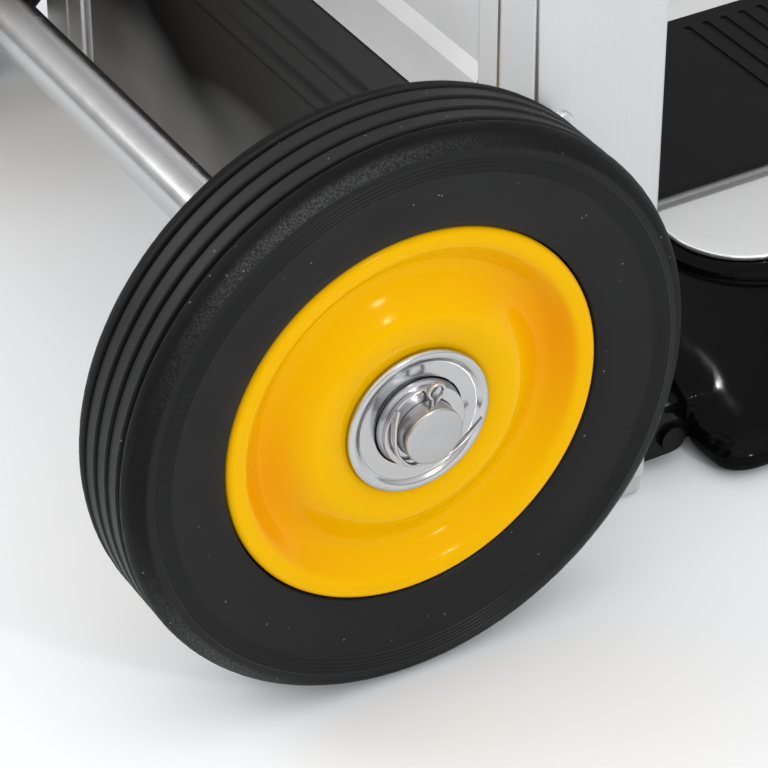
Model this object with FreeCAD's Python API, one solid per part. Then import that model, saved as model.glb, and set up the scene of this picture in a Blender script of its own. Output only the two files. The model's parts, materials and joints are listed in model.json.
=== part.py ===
import FreeCAD, Part
import math
import os

# Folding-toe aluminium transport trolley with two rubber-tyred wheels.
# World frame: X along the axle, toe plate towards -Y, +Z up, floor at Z = 0.
# Local stations: f = forward of the axle, u = above the axle, z = outward of the rim lip.

V = FreeCAD.Vector

# ---- driving dimensions, millimetres ----
TRACK = 450.0            # rim lip plane to rim lip plane
TYRE_R = 100.0
TYRE_W = 41.0
TYRE_PROUD = 3.0         # sidewall stands out past the rim lip
SHOULDER_R = 7.3
SIDEWALL_DISH = 1.6
GROOVE_COUNT = 4
GROOVE_PITCH = 7.3
GROOVE_W = 2.2
GROOVE_D = 1.7
RIDGE_COUNT = 5
RIDGE_PITCH = 1.45
RIDGE_FIRST_R = 87.2
RIDGE_D = 0.4
SEAT_R = 61.0
LIP_R = 66.2
LIP_T = 3.8
RIM_T = 2.3
RIM_VALLEY = 7.2
RIM_VALLEY_R = 50.0
BOSS_R = 34.0
BORE_R = 20.1
HUB_WALL = 2.5
CUP_FLANGE_R = 25.4
CUP_WALL = 1.7
CUP_LEN = 11.0
BALL_D = 4.8
BALL_COUNT = 12
CONE_NECK_R = 13.4
CONE_COLLAR_R = 15.3
AXLE_R = 10.0
AXLE_END = 11.0          # axle end outside the rim lip plane
WASHER_R = 14.4
WASHER_T = 2.0
PIN_Z = 7.0
PIN_LEAN = 10.0
PIN_REACH = 2.3          # shank end beyond the axle surface
PIN_WIRE_R = 0.95
SPACER_R = 13.0
FRAME_WIDTH = 366.0      # across the outer faces of the uprights
UPRIGHT_W = 34.5
UPRIGHT_D = 50.0
UPRIGHT_BACK = 67.5      # axle to the back face of the uprights
UPRIGHT_TOP = 640.0
UPRIGHT_WALL = 2.2
UPRIGHT_EDGE_R = 1.5
FLUTE_W = 2.6
FLUTE_D = 0.6
FLUTE_X = 13.4           # from the inner face
FOOT_H = 8.0
PLUG_DEPTH = 18.0
BRACKET_T = 4.0
BRACKET_HALF_H = 38.0
BRACKET_BOSS_R = 17.0
BOLT_R = 4.0
BOLT_HEAD_R = 7.0
BOLT_HEAD_H = 2.2
PANEL_LOW = -88.0
PANEL_TOP = 40.0
PANEL_T = 3.0
PANEL_FLANGE = 22.0
PANEL_HEM = 6.0
PANEL_BEAD_R = 4.5
BAR_H = 60.0
BAR_D = 20.0
BAR_WALL = 2.0
BAR_STEP = 3.0
UPPER_BAR_DROP = 80.0    # underside of the upper bar below the tops of the uprights
UPPER_BAR_H = 40.0
RIVET_R = 2.5
COLLAR_WALL = 3.5
COLLAR_H = 46.0
COLLAR_LIP = 12.0
BUTTON_R = 7.0
BUTTON_TRAVEL = 2.5
BUTTON_PROUD = 3.0
SLIDE_TRAVEL = 340.0
TUBE_WALL = 1.8
TUBE_OVERLAP = 120.0
GRIP_R = 16.5
HANDLE_R = 12.5
GRIP_LEN = 210.0
CORNER_H = 62.0
TOE_HALF_W = 196.0
TOE_BACK = 144.5
TOE_DEPTH = 230.5
TOE_LOW = 1.0
TOE_T = 14.0
TOE_CORNER_R = 46.0
TOE_LOBE_R = 17.0          # back corners
TOE_WAIST = 8.0            # back edge steps in between the lobes
TOE_RIM = 28.0           # solid border around the pockets underneath
TOE_SKIN = 4.0
POCKETS_X = 6
POCKETS_F = 3
RIB_T = 5.0
DECK_HALF_W = 108.0
DECK_BACK = 199.4
DECK_DEPTH = 151.0
DECK_T = 2.0
DECK_CORNER_R = 31.0
PLATEAU_H = 3.5
PLATEAU_RIM = 12.0
PAD_HALF_W = 54.7
PAD_T = 2.5
PAD_SLOTS = 5
PAD_SLOT_PITCH = 9.0
HINGE_F = 134.0
HINGE_Z = 12.0
HINGE_R = 7.0
HINGE_PIN_R = 3.0
EAR_T = 4.0
EAR_GAP = 16.0
LUG_LOW = 4.0
LUG_H = 8.0
LUG_REACH = 12.0

# ---- clearances ----
SOFT = 0.3
RUN = 0.05
SEATED = 0.1
TUBE_GAP = 0.8

STOP_GAP = 2.5
BAR_OVER_TUBE = 1.5
CORNER_CROWN = 5.0

# ---- derived stations ----
XR = TRACK / 2
ZA = TYRE_R
TOE_FRONT = TOE_BACK + TOE_DEPTH
YA = (TOE_FRONT - TYRE_R) / 2
UP_OUT = FRAME_WIDTH / 2
UP_IN = UP_OUT - UPRIGHT_W
UP_MID = UP_IN + UPRIGHT_W / 2
UP_FRONT = UPRIGHT_BACK + UPRIGHT_D
UP_FMID = UPRIGHT_BACK + UPRIGHT_D / 2
MID_Z = TYRE_PROUD - TYRE_W / 2
CUP_INNER_R = BORE_R - SEATED - CUP_WALL
PITCH_R = (CUP_INNER_R + CONE_NECK_R) / 2
TUBE_W = UPRIGHT_W - 2 * UPRIGHT_WALL - 2 * TUBE_GAP
TUBE_D = UPRIGHT_D - 2 * UPRIGHT_WALL - 2 * TUBE_GAP
TUBE_LOW = UPRIGHT_TOP - TUBE_OVERLAP
UPPER_BAR_Z = UPRIGHT_TOP - UPPER_BAR_DROP
CORNER_BELOW = CORNER_H - 2 * HANDLE_R - BAR_OVER_TUBE - CORNER_CROWN
TUBE_TOP = UPRIGHT_TOP + COLLAR_LIP + SLIDE_TRAVEL + STOP_GAP + CORNER_BELOW
HANDLE_Z = TUBE_TOP + HANDLE_R + BAR_OVER_TUBE

os.makedirs("parts", exist_ok=True)


def pt(x, f, u):
    return V(x, YA - f, ZA + u)


def save(name, shape):
    shape.exportStep("parts/" + name + ".step")


def both(name, shape):
    save(name + "_right", shape)
    save(name + "_left", shape.mirror(V(0, 0, 0), V(1, 0, 0)))


def mirrored(shapes):
    return shapes + [s.mirror(V(0, 0, 0), V(1, 0, 0)) for s in shapes]


def group(shapes):
    return Part.makeCompound(shapes)


def edge_chain(parts):
    # each item is a list of (r, z) points: two make a line, more make a smooth curve
    edges = []
    for run in parts:
        pts = [V(XR + z, YA, ZA + r) for r, z in run]
        if len(pts) == 2:
            edges.append(Part.makeLine(pts[0], pts[1]))
        else:
            curve = Part.BSplineCurve()
            curve.interpolate(pts)
            edges.append(curve.toShape())
    return edges


def turned(parts):
    face = Part.Face(Part.Wire(edge_chain(parts)))
    return face.revolve(V(0, YA, ZA), V(1, 0, 0), 360)


def turned_poly(points):
    loop = points + [points[0]]
    return turned([[loop[i], loop[i + 1]] for i in range(len(points))])


def ring(r0, r1, z0, z1):
    return turned_poly([(r0, z0), (r1, z0), (r1, z1), (r0, z1)])


def flip(shape):
    # mirror across the middle plane of the right-hand wheel
    return shape.mirror(V(XR + MID_Z, 0, 0), V(1, 0, 0))


def rod(a, b, r):
    d = b.sub(a)
    return Part.makeCylinder(r, d.Length, a, d)


def cyl_x(r, x0, x1, f, zz):
    return Part.makeCylinder(r, x1 - x0, V(x0, YA - f, zz), V(1, 0, 0))


def round_rect(x0, x1, y0, y1, r, z):
    k = r * (1 - math.sqrt(0.5))
    a = Part.makeLine(V(x0 + r, y0, z), V(x1 - r, y0, z))
    b = Part.Arc(V(x1 - r, y0, z), V(x1 - k, y0 + k, z), V(x1, y0 + r, z)).toShape()
    c = Part.makeLine(V(x1, y0 + r, z), V(x1, y1 - r, z))
    d = Part.Arc(V(x1, y1 - r, z), V(x1 - k, y1 - k, z), V(x1 - r, y1, z)).toShape()
    e = Part.makeLine(V(x1 - r, y1, z), V(x0 + r, y1, z))
    f = Part.Arc(V(x0 + r, y1, z), V(x0 + k, y1 - k, z), V(x0, y1 - r, z)).toShape()
    g = Part.makeLine(V(x0, y1 - r, z), V(x0, y0 + r, z))
    h = Part.Arc(V(x0, y0 + r, z), V(x0 + k, y0 + k, z), V(x0 + r, y0, z)).toShape()
    return Part.Face(Part.Wire([a, b, c, d, e, f, g, h]))


def slab(x0, x1, f0, f1, z0, z1, r):
    return round_rect(x0, x1, YA - f1, YA - f0, r, z0).extrude(V(0, 0, z1 - z0))


def post(half_w, half_d, z0, z1, r):
    # upright block centred on the right-hand upright
    x0 = UP_MID - half_w
    x1 = UP_MID + half_w
    return slab(x0, x1, UP_FMID - half_d, UP_FMID + half_d, z0, z1, r)


def flat_edges(shape, z, tol=0.01):
    found = []
    for e in shape.Edges:
        bb = e.BoundBox
        if abs(bb.ZMin - z) < tol and abs(bb.ZMax - z) < tol:
            found.append(e)
    return found


def end_rings(shape, x, tol=0.01):
    return [e for e in shape.Edges if e.BoundBox.XLength < tol and abs(e.BoundBox.XMin - x) < tol]


def profile_x(points, x0, x1):
    # closed (f, zz) outline swept along the axle direction
    pts = [V(x0, YA - f, zz) for f, zz in points]
    face = Part.Face(Part.makePolygon(pts + [pts[0]]))
    return face.extrude(V(x1 - x0, 0, 0))


# ---- wheels ----
def tyre():
    half = TYRE_W / 2
    lip_low = -LIP_T - MID_Z - 0.2
    arc_k = SHOULDER_R * (1 - math.sqrt(0.5))
    gap_r = LIP_R + 0.7
    side = [(gap_r, half - TYRE_PROUD - 1.2), (72.0, half - SIDEWALL_DISH - 0.5),
            (79.0, half - SIDEWALL_DISH * 0.6), (86.0, half - 0.15), (TYRE_R - SHOULDER_R, half)]
    arc = [(TYRE_R - SHOULDER_R, half), (TYRE_R - arc_k, half - arc_k), (TYRE_R, half - SHOULDER_R)]
    rows = [
        [(SEAT_R + SEATED, -lip_low), (SEAT_R + SEATED, lip_low)],
        [(SEAT_R + SEATED, lip_low), (gap_r, lip_low)],
        [(gap_r, lip_low), side[0]],
        side,
    ]
    outer = []
    for run in rows:
        outer.append([(r, z + MID_Z) for r, z in run])
    outer.append([(r, z + MID_Z) for r, z in arc])
    outer.append([(TYRE_R, half - SHOULDER_R + MID_Z), (TYRE_R, -half + SHOULDER_R + MID_Z)])
    outer.append([(r, MID_Z - z) for r, z in arc[::-1]])
    outer.append([(r, MID_Z - z) for r, z in side[::-1]])
    outer.append([(gap_r, MID_Z - side[0][1]), (gap_r, MID_Z - lip_low)])
    outer.append([(gap_r, MID_Z - lip_low), (SEAT_R + SEATED, MID_Z - lip_low)])
    body = turned(outer)
    cuts = []
    for i in range(GROOVE_COUNT):
        zc = MID_Z + (i - (GROOVE_COUNT - 1) / 2) * GROOVE_PITCH
        low = TYRE_R - GROOVE_D
        w0 = GROOVE_W / 2
        w1 = GROOVE_W / 4
        top = TYRE_R + 1
        cuts.append(turned_poly([(low, zc - w1), (low, zc + w1), (top, zc + w0), (top, zc - w0)]))
    for i in range(RIDGE_COUNT):
        rc = RIDGE_FIRST_R + i * RIDGE_PITCH
        top = TYRE_PROUD + 1
        vee = [(rc - 0.45, top), (rc, TYRE_PROUD - RIDGE_D), (rc + 0.45, top)]
        cuts.append(turned_poly(vee))
        cuts.append(flip(turned_poly(vee)))
    return body.cut(cuts)


def rim_half():
    mid = MID_Z + RUN
    t = RIM_T
    vr = RIM_VALLEY_R
    face = [(BOSS_R, 0.0), (BOSS_R + 3, -0.7), (vr - 8, -RIM_VALLEY * 0.68), (vr, -RIM_VALLEY),
            (vr + 6, -RIM_VALLEY * 0.74), (vr + 10.5, -RIM_VALLEY * 0.26), (LIP_R - 2.2, 0.0)]
    back = [(BOSS_R - 1, -t), (BOSS_R + 2, -0.7 - t), (vr - 9, -RIM_VALLEY * 0.68 - t),
            (vr, -RIM_VALLEY - t), (SEAT_R - 2.4, -RIM_VALLEY * 0.6 - t)]
    lip = [(LIP_R - 2.2, 0.0), (LIP_R - 0.5, -0.6), (LIP_R, -2.0)]
    hub = BORE_R + HUB_WALL
    return turned([
        [(BORE_R, 0.0), (BOSS_R, 0.0)],
        face,
        lip,
        [(LIP_R, -2.0), (LIP_R, -LIP_T)],
        [(LIP_R, -LIP_T), (SEAT_R, -LIP_T)],
        [(SEAT_R, -LIP_T), (SEAT_R, mid)],
        [(SEAT_R, mid), (SEAT_R - 2.4, mid)],
        [(SEAT_R - 2.4, mid), back[-1]],
        back[::-1],
        [(BOSS_R - 1, -t), (hub, -t)],
        [(hub, -t), (hub, mid)],
        [(hub, mid), (BORE_R, mid)],
        [(BORE_R, mid), (BORE_R, 0.0)],
    ])


def bearing_cup():
    r_out = BORE_R - SEATED
    r_in = CUP_INNER_R
    eye = CONE_COLLAR_R + SOFT
    return turned_poly([
        (CUP_FLANGE_R, SEATED), (CUP_FLANGE_R, 1.2), (CUP_FLANGE_R - 0.9, 1.9), (22.6, 2.1), (21.2, 1.7),
        (20.3, 0.8), (eye, 0.8), (eye, -0.2), (r_in, -0.2), (r_in, -CUP_LEN), (r_out, -CUP_LEN),
        (r_out, SEATED)])


def bearing_cone():
    r0 = AXLE_R + RUN
    low = -CUP_LEN
    return turned_poly([
        (r0, low), (CONE_NECK_R, low), (CONE_NECK_R, -1.6), (CONE_COLLAR_R, -1.6), (CONE_COLLAR_R, 1.9),
        (CONE_COLLAR_R - 1.0, 2.9), (r0, 2.9)])


def ball_row():
    balls = []
    r = (CUP_INNER_R - CONE_NECK_R) / 2 - RUN
    for i in range(BALL_COUNT):
        a = 2 * math.pi * i / BALL_COUNT
        c = pt(XR - 4.6, PITCH_R * math.cos(a), PITCH_R * math.sin(a))
        balls.append(Part.makeSphere(min(r, BALL_D / 2), c))
    return balls


def pin_dir():
    a = math.radians(PIN_LEAN)
    return (math.sin(a), math.cos(a))


def pin_hole(r):
    pf, pu = pin_dir()
    x = XR + PIN_Z
    return rod(pt(x, 20 * pf, 20 * pu), pt(x, -20 * pf, -20 * pu), r)


def wire_path(points, r):
    body = Part.makeSphere(r, points[0])
    for a, b in zip(points, points[1:]):
        body = body.fuse([rod(a, b, r), Part.makeSphere(r, b)])
    return body.removeSplitter()


def split_pin():
    pf, pu = pin_dir()
    x = XR + PIN_Z
    eye_r = 2.8
    top = AXLE_R + 1.0
    eye = Part.makeTorus(eye_r, PIN_WIRE_R, pt(x, (top + eye_r) * pf, (top + eye_r) * pu), V(1, 0, 0))
    low = AXLE_R + PIN_REACH
    shank = rod(pt(x, top * pf, top * pu), pt(x, -low * pf, -low * pu), 2 * PIN_WIRE_R)
    k = AXLE_R / 10
    start = pt(x, -1.14 * AXLE_R * pf, -1.14 * AXLE_R * pu)
    back_leg = wire_path([start, pt(x - 0.2, -7.5 * k, -10.6 * k), pt(x - 0.4, -11.8 * k, -4.0 * k),
                          pt(x - 0.6, -12.4 * k, 4.0 * k), pt(x - 0.6, -11.2 * k, 11.4 * k)], PIN_WIRE_R)
    front_leg = wire_path([start, pt(x - 0.4, 6.0 * k, -11.8 * k), pt(x - 0.8, 14.0 * k, -7.6 * k),
                           pt(x - 1.6, 20.6, -3.2)], PIN_WIRE_R)
    return shank.fuse([eye, back_leg, front_leg]).removeSplitter()


def washers():
    r0 = AXLE_R + SEATED
    outer = ring(r0, WASHER_R, 3.0, 3.0 + WASHER_T)
    return [outer, ring(r0, WASHER_R, 2 * MID_Z - 3.0 - WASHER_T, 2 * MID_Z - 3.0)]


wheel_tyre = tyre()
outer_half = rim_half()
cup = bearing_cup()
cone = bearing_cone()
row = ball_row()
both("tyre", wheel_tyre)
both("rim_outer_half", outer_half)
both("rim_inner_half", flip(outer_half))
both("bearing_cups", group([cup, flip(cup)]))
both("bearing_balls", group(row + [flip(b) for b in row]))
both("bearing_cones", group([cone, flip(cone)]))
both("axle_washers", group(washers()))
both("split_pin", split_pin())
spacer_out = XR + 2 * MID_Z - 3.0 - WASHER_T - SEATED
spacer = cyl_x(SPACER_R, UP_IN + SEATED, spacer_out, 0, ZA)
both("axle_spacer", spacer.cut(cyl_x(AXLE_R + SEATED, UP_IN - 5, XR, 0, ZA)))
half_axle = XR + AXLE_END
axle = cyl_x(AXLE_R, -half_axle, half_axle, 0, ZA)
axle_ends = end_rings(axle, half_axle) + end_rings(axle, -half_axle)
axle = axle.makeChamfer(0.8, axle_ends)
hole = pin_hole(2 * PIN_WIRE_R + SEATED)
save("axle", axle.cut([hole, hole.mirror(V(0, 0, 0), V(1, 0, 0))]))


# ---- frame ----
def tube_cut(z0, z1):
    w = UPRIGHT_W / 2 - UPRIGHT_WALL
    d = UPRIGHT_D / 2 - UPRIGHT_WALL
    return post(w, d, z0, z1, 1.0)


BOLT_STATIONS = [(UP_FMID, ZA - 28.0), (UP_FMID, ZA + 24.0)]
BAR_LOW_Z = ZA + PANEL_TOP + SOFT
RIVET_STATIONS = [
    (UPRIGHT_BACK + BAR_D / 2, BAR_LOW_Z + 8), (UPRIGHT_BACK + BAR_D / 2, BAR_LOW_Z + 20),
    (UP_FMID, UPPER_BAR_Z + 10), (UP_FMID, UPPER_BAR_Z + UPPER_BAR_H - 10)]


def upright():
    body = post(UPRIGHT_W / 2, UPRIGHT_D / 2, FOOT_H, UPRIGHT_TOP, UPRIGHT_EDGE_R)
    cuts = [tube_cut(FOOT_H - 1, UPRIGHT_TOP + 1)]
    for face in (UPRIGHT_BACK, UP_FRONT):
        cuts.append(Part.makeBox(FLUTE_W, 2 * FLUTE_D, UPRIGHT_TOP,
                                 V(UP_IN + FLUTE_X - FLUTE_W / 2, YA - face - FLUTE_D, 0)))
    for f, zz in BOLT_STATIONS:
        cuts.append(cyl_x(BOLT_R + SEATED, UP_IN - 2, UP_OUT + 2, f, zz))
    for f, zz in RIVET_STATIONS:
        cuts.append(cyl_x(RIVET_R + SEATED, UP_OUT - UPRIGHT_WALL - 1, UP_OUT + 2, f, zz))
    return body.cut(cuts)


def foot_plug():
    base = post(UPRIGHT_W / 2, UPRIGHT_D / 2, 0, FOOT_H - SEATED, 4.0)
    base = base.makeFillet(2.5, flat_edges(base, 0))
    w = UPRIGHT_W / 2 - UPRIGHT_WALL - SOFT
    d = UPRIGHT_D / 2 - UPRIGHT_WALL - SOFT
    stem = post(w, d, FOOT_H - 1, FOOT_H + PLUG_DEPTH, 1.0)
    core = post(w - 2.5, d - 2.5, FOOT_H + 2, FOOT_H + PLUG_DEPTH + 1, 1.0)
    return base.fuse(stem.cut(core)).removeSplitter()


def axle_bracket():
    x0 = UP_IN - BRACKET_T
    h = BRACKET_HALF_H
    arm = profile_x([(0, ZA + BRACKET_BOSS_R), (UPRIGHT_BACK, ZA + h), (UP_FRONT - 4, ZA + h),
                     (UP_FRONT - 4, ZA - h), (UPRIGHT_BACK, ZA - h), (0, ZA - BRACKET_BOSS_R)], x0, UP_IN)
    boss = cyl_x(BRACKET_BOSS_R, x0 - 5, UP_IN, 0, ZA)
    cuts = [cyl_x(AXLE_R + SEATED, x0 - 10, UP_IN + 5, 0, ZA)]
    for f, zz in BOLT_STATIONS:
        cuts.append(cyl_x(BOLT_R + SEATED, x0 - 2, UP_IN + 2, f, zz))
    return arm.fuse(boss).cut(cuts).removeSplitter()


def bracket_bolt(f, zz):
    inner = UP_IN - BRACKET_T
    shank = cyl_x(BOLT_R, inner - 8, UP_OUT + 1, f, zz)
    head = cyl_x(BOLT_HEAD_R, UP_OUT, UP_OUT + BOLT_HEAD_H, f, zz)
    head = head.makeFillet(1.6, end_rings(head, UP_OUT + BOLT_HEAD_H))
    hexa = []
    for i in range(6):
        a = math.radians(60 * i)
        hexa.append((f + 7.5 * math.cos(a), zz + 7.5 * math.sin(a)))
    nut = profile_x(hexa, inner - 6.5, inner)
    socket = cyl_x(2.6, UP_OUT - 1.5, UP_OUT + 6, f, zz)
    return shank.fuse([head, nut]).cut(socket).removeSplitter()


def rivet(f, zz):
    stem = cyl_x(RIVET_R, UP_OUT - UPRIGHT_WALL, UP_OUT + 0.5, f, zz)
    head = cyl_x(RIVET_R * 1.9, UP_OUT, UP_OUT + 1.9, f, zz)
    return stem.fuse(head.makeFillet(1.4, end_rings(head, UP_OUT + 1.9))).removeSplitter()


def cross_panel():
    half = UP_IN - BRACKET_T - SOFT
    f0 = UPRIGHT_BACK + 2.5
    low = ZA + PANEL_LOW
    high = ZA + PANEL_TOP
    f1 = f0 + PANEL_FLANGE
    t = PANEL_T
    hem = f0 + PANEL_HEM
    sheet = profile_x([(f0, low), (f0, high), (f1, high), (f1, high - t), (f0 + t, high - t),
                       (f0 + t, low + t), (hem, low + t), (hem, low)], -half, half)
    beads = []
    for zz in (ZA - 1.0, ZA + 17.0):
        bead = cyl_x(PANEL_BEAD_R, -half, half, f0 + 2.0, zz)
        cover = Part.makeBox(2 * half, 2 * PANEL_BEAD_R, 4 * PANEL_BEAD_R,
                             V(-half, YA - f0 - PANEL_T - 2 * PANEL_BEAD_R, zz - 2 * PANEL_BEAD_R))
        beads.append(bead.cut(cover))
    return sheet.fuse(beads).removeSplitter()


def crossbar(z0, height, f0, step_at):
    half = UP_IN - SEATED
    s = BAR_STEP
    outer = profile_x([(f0, z0), (f0, z0 + step_at), (f0 + s, z0 + step_at + 5), (f0 + s, z0 + height),
                       (f0 + BAR_D, z0 + height), (f0 + BAR_D, z0)], -half, half)
    w = BAR_WALL
    inner = profile_x([(f0 + s + w, z0 + w), (f0 + s + w, z0 + height - w),
                       (f0 + BAR_D - w, z0 + height - w), (f0 + BAR_D - w, z0 + w)], -half - 1, half + 1)
    return outer.cut(inner)


both("upright", upright())
both("foot_plug", foot_plug())
both("axle_bracket", axle_bracket())
save("bracket_bolts", group(mirrored([bracket_bolt(f, zz) for f, zz in BOLT_STATIONS])))
save("cross_panel", cross_panel())
save("lower_crossbar", crossbar(BAR_LOW_Z, BAR_H, UPRIGHT_BACK + SEATED, 20.5))
save("upper_crossbar", crossbar(UPPER_BAR_Z, UPPER_BAR_H, UP_FMID - BAR_D / 2, 12.0))
save("crossbar_rivets", group(mirrored([rivet(f, zz) for f, zz in RIVET_STATIONS])))


# ---- telescopic handle ----
COLLAR_LOW = UPRIGHT_TOP - COLLAR_H + COLLAR_LIP
BUTTON_Z = COLLAR_LOW + 17.0


def collar():
    w = UPRIGHT_W / 2
    d = UPRIGHT_D / 2
    top = UPRIGHT_TOP + COLLAR_LIP
    body = post(w + COLLAR_WALL, d + COLLAR_WALL, COLLAR_LOW, top, 6.0)
    body = body.makeFillet(2.5, flat_edges(body, top) + flat_edges(body, COLLAR_LOW))
    pad = cyl_x(BUTTON_R + 4.5, UP_OUT, UP_OUT + 9.0, UP_FMID, BUTTON_Z)
    pad = pad.makeFillet(1.5, end_rings(pad, UP_OUT + 9.0))
    body = body.fuse(pad)
    cuts = [
        post(w + SEATED, d + SEATED, COLLAR_LOW - 1, UPRIGHT_TOP + SEATED, UPRIGHT_EDGE_R + SEATED),
        post(TUBE_W / 2 + SOFT, TUBE_D / 2 + SOFT, UPRIGHT_TOP - 1, top + 1, 2.0 + SOFT),
        cyl_x(BUTTON_R + SOFT, UP_OUT + SEATED, UP_OUT + 12, UP_FMID, BUTTON_Z)]
    return body.cut(cuts).removeSplitter()


def button():
    x0 = UP_OUT + 1.0 + BUTTON_TRAVEL
    x1 = UP_OUT + 9.0 + BUTTON_PROUD
    body = cyl_x(BUTTON_R, x0, x1, UP_FMID, BUTTON_Z)
    return body.makeFillet(1.5, end_rings(body, x1))


def slide_tube():
    body = post(TUBE_W / 2, TUBE_D / 2, TUBE_LOW, TUBE_TOP, 2.0)
    return body.cut(post(TUBE_W / 2 - TUBE_WALL, TUBE_D / 2 - TUBE_WALL, TUBE_LOW - 1, TUBE_TOP + 1, 0.8))


def guide_shoe():
    w = TUBE_W / 2 + TUBE_GAP - SOFT
    d = TUBE_D / 2 + TUBE_GAP - SOFT
    shoe = post(w, d, TUBE_LOW - 12, TUBE_LOW - SEATED, 2.0)
    bw = TUBE_W / 2 - TUBE_WALL - SOFT
    bd = TUBE_D / 2 - TUBE_WALL - SOFT
    stem = post(bw, bd, TUBE_LOW - 2, TUBE_LOW + 16, 0.8)
    return shoe.fuse(stem).removeSplitter()


def handle_corner():
    high = HANDLE_Z + HANDLE_R + CORNER_CROWN
    low = high - CORNER_H
    body = post(TUBE_W / 2 + 3.8, TUBE_D / 2 + 3.8, low, high, 7.0)
    body = body.makeFillet(5.0, flat_edges(body, high))
    body = body.makeFillet(1.5, flat_edges(body, low))
    cuts = [
        post(TUBE_W / 2 + SEATED, TUBE_D / 2 + SEATED, low - 1, TUBE_TOP + SEATED, 2.0 + SEATED),
        cyl_x(HANDLE_R + SEATED, UP_IN - 10, UP_IN + 14 + SEATED, UP_FMID, HANDLE_Z)]
    return body.cut(cuts)


def handle_bar():
    half = UP_IN + 14
    tube = cyl_x(HANDLE_R, -half, half, UP_FMID, HANDLE_Z)
    return tube.cut(cyl_x(HANDLE_R - 2, -half - 1, half + 1, UP_FMID, HANDLE_Z))


def handle_grip():
    half = GRIP_LEN / 2
    body = cyl_x(GRIP_R, -half, half, UP_FMID, HANDLE_Z)
    body = body.makeFillet(2.0, end_rings(body, half) + end_rings(body, -half))
    cuts = [cyl_x(HANDLE_R + RUN, -half - 1, half + 1, UP_FMID, HANDLE_Z)]
    count = 15
    for i in range(count):
        x = (i - (count - 1) / 2) * (GRIP_LEN - 26) / (count - 1)
        groove = Part.makeTorus(GRIP_R + 0.9, 1.9, V(x, YA - UP_FMID, HANDLE_Z), V(1, 0, 0))
        cuts.append(groove)
    return body.cut(cuts)


both("collar", collar())
both("release_button", button())
both("slide_tube", slide_tube())
both("guide_shoe", guide_shoe())
both("handle_corner", handle_corner())
save("handle_bar", handle_bar())
save("handle_grip", handle_grip())

# ---- folding toe plate ----
KNUCKLE_X = UP_OUT - 9.0 - EAR_T - EAR_GAP / 2
DECK_Z = TOE_LOW + TOE_T + PLATEAU_H
LUG_W = EAR_GAP - 2 * SOFT


def corner_edges(shape, places):
    """Vertical edges that stand at the given (x, forward) places."""
    found = []
    for edge in shape.Edges:
        a, b = edge.Vertexes[0].Point, edge.Vertexes[-1].Point
        if abs(a.x - b.x) + abs(a.y - b.y) > 0.01 or abs(a.z - b.z) < 1:
            continue
        if any(abs(a.x - x) + abs(YA - a.y - f) < 0.1 for x, f in places):
            found.append(edge)
    return found


def toe_blank():
    half = TOE_HALF_W
    lobe = half - TOE_LOBE_R - 8
    waist = lobe - 24
    right = [(half, TOE_FRONT), (half, TOE_BACK), (lobe, TOE_BACK), (waist, TOE_BACK + TOE_WAIST)]
    line = right + [(-x, f) for x, f in reversed(right)]
    corners = [V(x, YA - f, TOE_LOW) for x, f in line]
    blank = Part.Face(Part.makePolygon(corners + corners[:1])).extrude(V(0, 0, TOE_T))
    blank = blank.makeFillet(12.0, corner_edges(blank, right[2:] + [(-x, f) for x, f in right[2:]]))
    blank = blank.makeFillet(TOE_LOBE_R, corner_edges(blank, [(half, TOE_BACK), (-half, TOE_BACK)]))
    return blank.makeFillet(TOE_CORNER_R, corner_edges(blank, [(half, TOE_FRONT), (-half, TOE_FRONT)]))


def toe_base():
    top = TOE_LOW + TOE_T
    body = toe_blank()
    body = body.makeFillet(7.5, flat_edges(body, top))
    body = body.makeFillet(4.5, flat_edges(body, TOE_LOW))
    w = DECK_HALF_W + PLATEAU_RIM
    f0 = DECK_BACK - PLATEAU_RIM * 0.6
    f1 = DECK_BACK + DECK_DEPTH + PLATEAU_RIM * 0.8
    step = slab(-w, w, f0, f1, top - 2, DECK_Z, DECK_CORNER_R + PLATEAU_RIM)
    step = step.makeFillet(3.0, flat_edges(step, DECK_Z))
    body = body.fuse(step)
    cuts = []
    wide = LUG_W / 2 + SEATED
    for s in (-1, 1):
        corner = V(s * KNUCKLE_X - wide, YA - TOE_BACK - LUG_REACH - SEATED, LUG_LOW - SEATED)
        cuts.append(Part.makeBox(2 * wide, LUG_REACH + SEATED, LUG_H + 2 * SEATED, corner))
    # moulded pockets under the slab leave a skin and a grid of ribs
    x_room = 2 * (TOE_HALF_W - TOE_RIM)
    f_room = TOE_DEPTH - 2 * TOE_RIM
    for i in range(POCKETS_X):
        for j in range(POCKETS_F):
            x0 = -x_room / 2 + i * x_room / POCKETS_X + RIB_T / 2
            f0 = TOE_BACK + TOE_RIM + j * f_room / POCKETS_F + RIB_T / 2
            x1 = x0 + x_room / POCKETS_X - RIB_T
            f1 = f0 + f_room / POCKETS_F - RIB_T
            cuts.append(slab(x0, x1, f0, f1, TOE_LOW - 1, TOE_LOW + TOE_T - TOE_SKIN, 6.0))
    return body.cut(cuts).removeSplitter()


def toe_knuckle():
    barrel = cyl_x(HINGE_R, KNUCKLE_X - LUG_W / 2, KNUCKLE_X + LUG_W / 2, HINGE_F, HINGE_Z)
    tongue = Part.makeBox(LUG_W, TOE_BACK + LUG_REACH - HINGE_F, LUG_H,
                          V(KNUCKLE_X - LUG_W / 2, YA - TOE_BACK - LUG_REACH, LUG_LOW))
    body = barrel.fuse(tongue).removeSplitter()
    return body.cut(cyl_x(HINGE_PIN_R + RUN, KNUCKLE_X - LUG_W, KNUCKLE_X + LUG_W, HINGE_F, HINGE_Z))


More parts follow.
